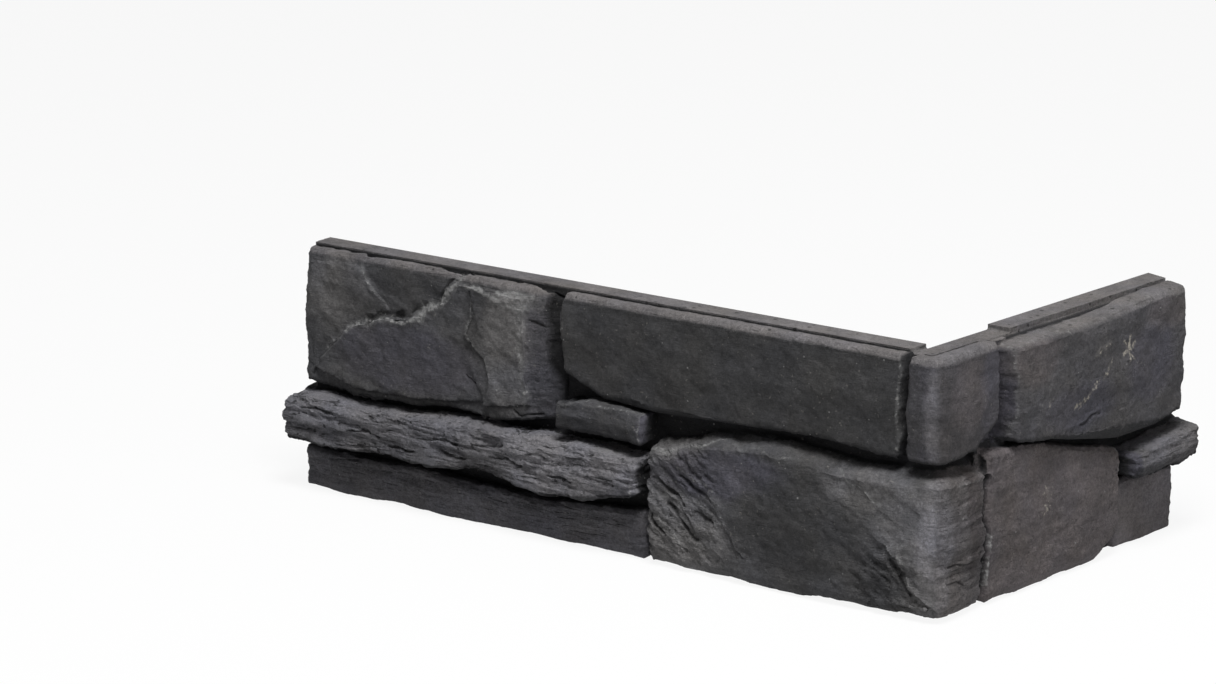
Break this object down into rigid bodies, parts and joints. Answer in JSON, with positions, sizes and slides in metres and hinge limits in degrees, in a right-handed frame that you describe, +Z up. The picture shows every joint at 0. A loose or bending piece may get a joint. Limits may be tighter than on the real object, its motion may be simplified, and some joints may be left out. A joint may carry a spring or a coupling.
{
  "type": "stone cladding corner strip",
  "caption": "L-shaped cast concrete ledge-stone strip that clads an outside wall corner; stones of uneven depth stand out from a flat back slab.",
  "frame": {"origin": "foot of the inner corner, where the arris of the wall stands", "axes": "+Z up from the bed; the long leg runs along -X with its stones facing -Y, the short leg runs along +Y with its stones facing +X"},
  "size_m": [0.3263, 0.1863, 0.1],
  "materials": {
    "stone": "matt through-coloured charcoal concrete, cast with a split slate texture"
  },
  "bodies": {
    "root": {"corner_strip": "stone"}
  },
  "joints": []
}
